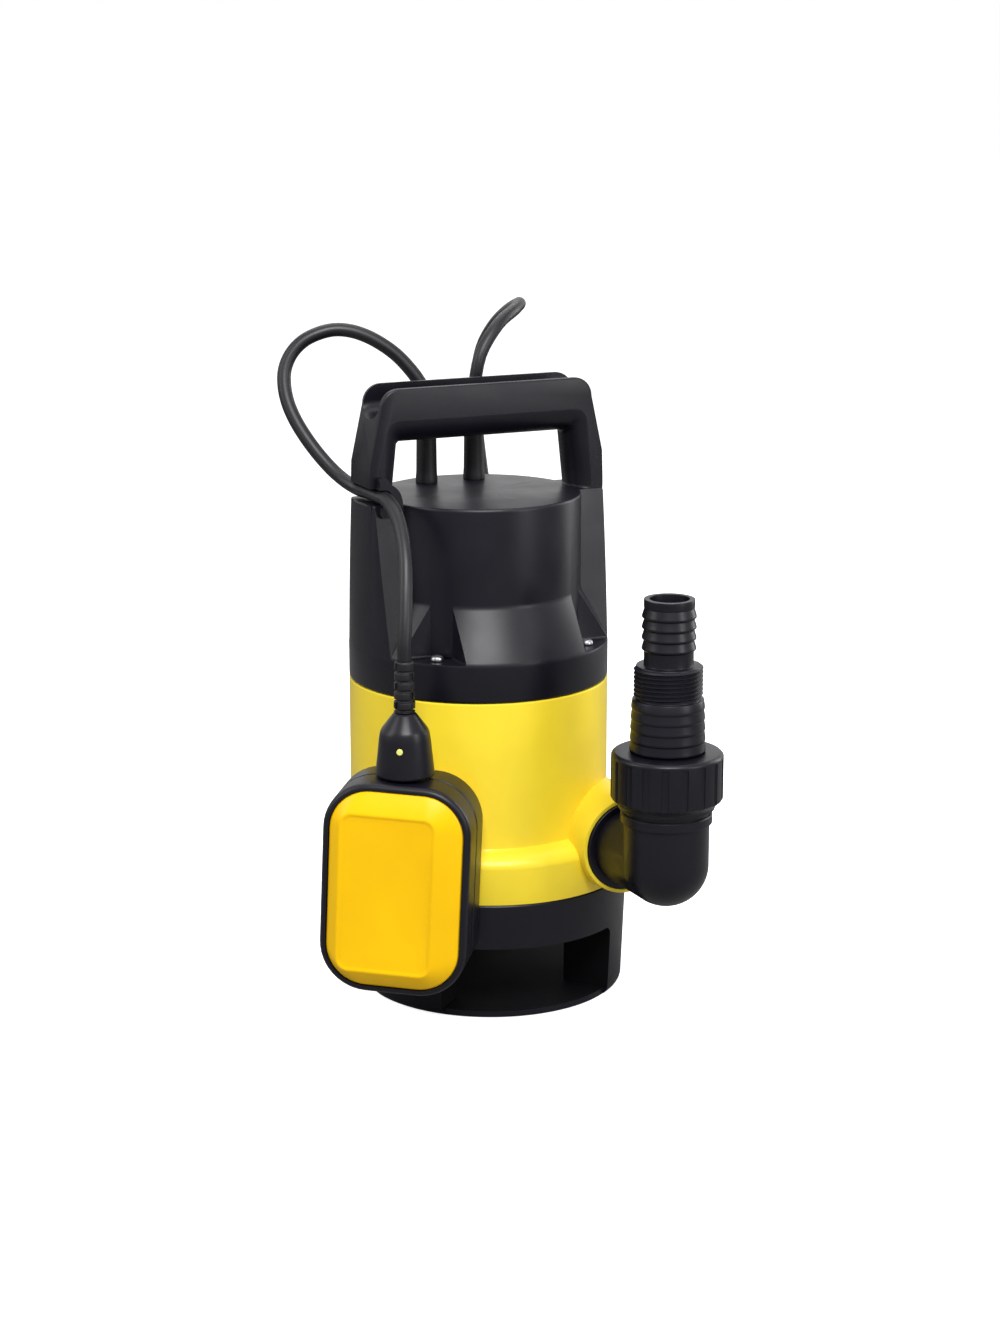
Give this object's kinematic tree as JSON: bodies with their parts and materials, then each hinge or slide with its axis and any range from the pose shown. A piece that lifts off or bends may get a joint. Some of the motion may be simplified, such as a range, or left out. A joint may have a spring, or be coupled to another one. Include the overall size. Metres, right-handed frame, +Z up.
{
  "type": "submersible pump",
  "caption": "Submersible sump pump: drum housing on a slotted base, carrying handle, swivelling elbow with stepped hose adapter, tethered float switch and coiled mains lead.",
  "frame": {"origin": "on the motor's axis, in the plane of the base's underside", "axes": "+Z up along the motor's axis, +X along the carrying handle towards the discharge's side, -Y the way the discharge leaves"},
  "size_m": [0.244, 0.3577, 0.3616],
  "materials": {
    "top_cover": "satin",
    "strainer_base": "satin",
    "suction_plate": "satin",
    "discharge_elbow": "satin",
    "union_nut": "satin",
    "hose_adapter": "satin",
    "impeller": "satin",
    "float_case": "satin",
    "float_neck": "satin",
    "pump_housing": "satin",
    "float_front_cover": "satin",
    "float_back_cover": "satin",
    "cover_seal": "matt",
    "float_cable_sleeve": "matt",
    "mains_cable_sleeve": "matt",
    "outlet_o_ring": "matt",
    "adapter_gasket": "matt",
    "shaft_seal": "matt",
    "float_strain_relief": "matt",
    "float_cable_loop": "matt",
    "float_cable_drop": "matt",
    "mains_cable": "matt",
    "mains_cable_coil": "matt",
    "mains_cable_tail": "matt",
    "mains_plug": "matt",
    "cover_screw_1": "bright",
    "cover_screw_2": "bright",
    "cover_screw_3": "bright",
    "cover_screw_4": "bright",
    "base_screw_1": "bright",
    "base_screw_2": "bright",
    "base_screw_3": "bright",
    "motor_shaft": "bright",
    "motor_can": "bright",
    "lower_bearing": "bright",
    "upper_bearing": "bright",
    "switch_ball": "bright",
    "plug_pin_1": "bright",
    "plug_pin_2": "bright",
    "stator_core": "dull",
    "rotor_core": "dull",
    "bearing_bracket": "dull",
    "upper_winding": "varnished",
    "lower_winding": "varnished",
    "impeller_nut": "plain",
    "capacitor": "plain",
    "terminal_block": "plain",
    "switch_capsule": "plain"
  },
  "bodies": {
    "pump": {"top_cover": "top_cover", "strainer_base": "strainer_base", "suction_plate": "suction_plate", "pump_housing": "pump_housing", "cover_seal": "cover_seal", "float_cable_sleeve": "float_cable_sleeve", "mains_cable_sleeve": "mains_cable_sleeve", "shaft_seal": "shaft_seal", "float_cable_loop": "float_cable_loop", "mains_cable": "mains_cable", "mains_cable_coil": "mains_cable_coil", "mains_cable_tail": "mains_cable_tail", "mains_plug": "mains_plug", "cover_screw_1": "cover_screw_1", "cover_screw_2": "cover_screw_2", "cover_screw_3": "cover_screw_3", "cover_screw_4": "cover_screw_4", "base_screw_1": "base_screw_1", "base_screw_2": "base_screw_2", "base_screw_3": "base_screw_3", "motor_can": "motor_can", "lower_bearing": "lower_bearing", "upper_bearing": "upper_bearing", "plug_pin_1": "plug_pin_1", "plug_pin_2": "plug_pin_2", "stator_core": "stator_core", "bearing_bracket": "bearing_bracket", "upper_winding": "upper_winding", "lower_winding": "lower_winding", "capacitor": "capacitor", "terminal_block": "terminal_block"},
    "rotor": {"motor_shaft": "motor_shaft", "rotor_core": "rotor_core", "impeller": "impeller", "impeller_nut": "impeller_nut"},
    "elbow": {"discharge_elbow": "discharge_elbow", "outlet_o_ring": "outlet_o_ring", "adapter_gasket": "adapter_gasket", "hose_adapter": "hose_adapter"},
    "nut": {"union_nut": "union_nut"},
    "float": {"float_cable_drop": "float_cable_drop", "float_strain_relief": "float_strain_relief", "float_neck": "float_neck", "float_case": "float_case", "float_front_cover": "float_front_cover", "float_back_cover": "float_back_cover", "switch_capsule": "switch_capsule"},
    "ball": {"switch_ball": "switch_ball"}
  },
  "joints": [
    {"name": "rotor_spin", "type": "hinge", "parent": "pump", "child": "rotor", "pos_m": [0, 0, 0.1], "axis": [0, 0, 1], "continuous": true},
    {"name": "elbow_swivel", "type": "hinge", "parent": "pump", "child": "elbow", "pos_m": [0.0478, -0.1, 0.09], "axis": [0, 1, 0], "range_deg": [-80, 90]},
    {"name": "nut_spin", "type": "hinge", "parent": "elbow", "child": "nut", "pos_m": [0.0478, -0.1255, 0.137], "axis": [0, 0, 1], "continuous": true},
    {"name": "float_swing", "type": "hinge", "parent": "pump", "child": "float", "pos_m": [-0.0616, -0.01365, 0.2723], "axis": [0, 1, 0], "range_deg": [0, 135]},
    {"name": "ball_roll", "type": "slide", "parent": "float", "child": "ball", "axis": [0, 0, 1], "range_m": [0, 0.012]}
  ]
}
